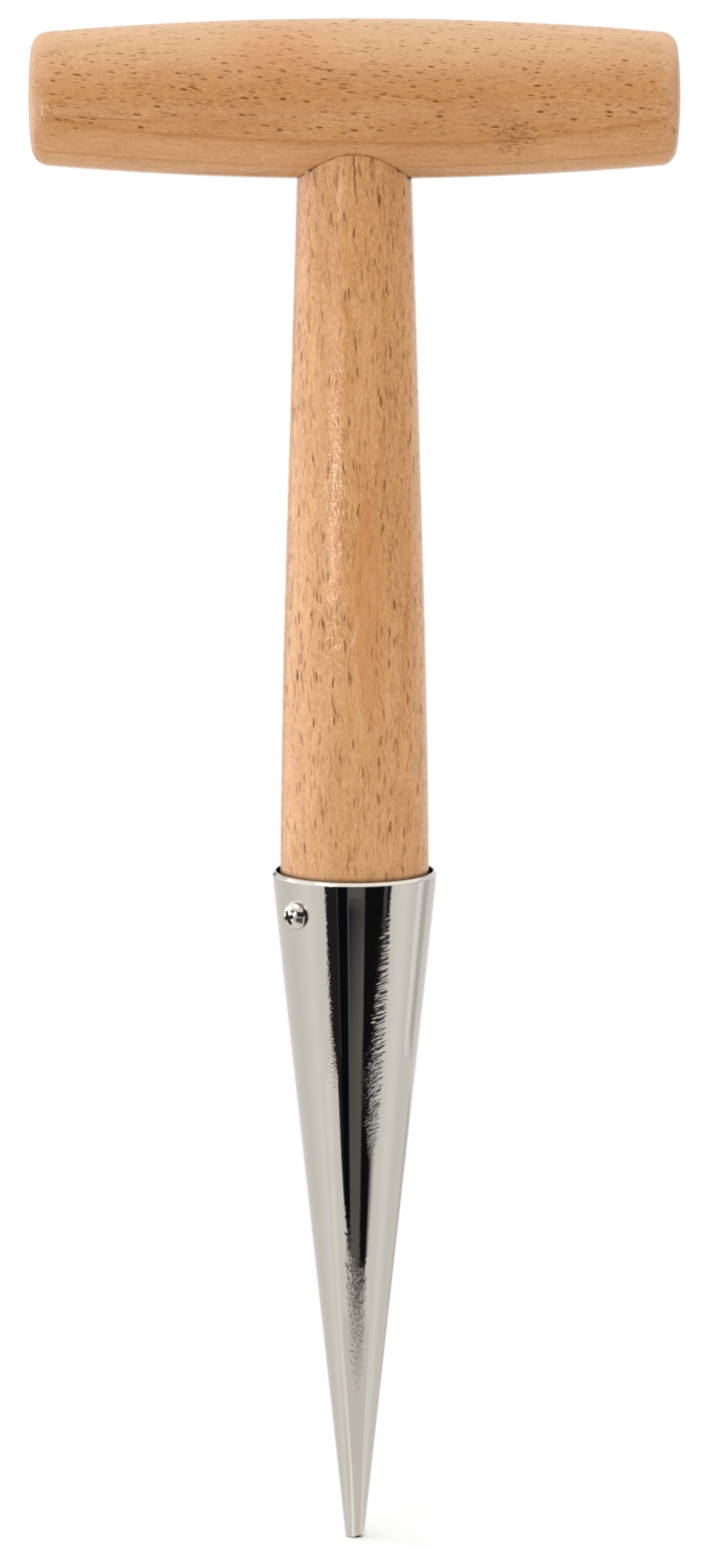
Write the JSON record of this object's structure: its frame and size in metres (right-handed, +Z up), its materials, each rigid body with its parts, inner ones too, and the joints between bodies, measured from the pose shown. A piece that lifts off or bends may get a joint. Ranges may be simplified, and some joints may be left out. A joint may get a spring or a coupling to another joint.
{
  "type": "dibber",
  "caption": "Hand dibber: a turned wooden T handle and tapering wooden shaft, seated and screwed in a hollow bright steel cone with a blunt tip, for pressing planting holes in soil.",
  "frame": {"origin": "centre of the spike's blunt tip, on the surface that the tip stands on", "axes": "+Z up the shaft to the crossbar, +X along the crossbar, -Y towards the viewer of the picture"},
  "size_m": [0.1244, 0.0324, 0.3],
  "materials": {
    "handle_beech": "satin lacquer over beech, grain along the crossbar",
    "shaft_beech": "satin lacquer over beech, grain along the shaft",
    "bright_steel": "bright polished plate on rolled sheet",
    "screw_steel": "bright plate"
  },
  "bodies": {
    "root": {"crossbar_handle": "handle_beech", "shaft": "shaft_beech", "steel_spike": "bright_steel", "fixing_screw": "screw_steel"}
  },
  "joints": []
}
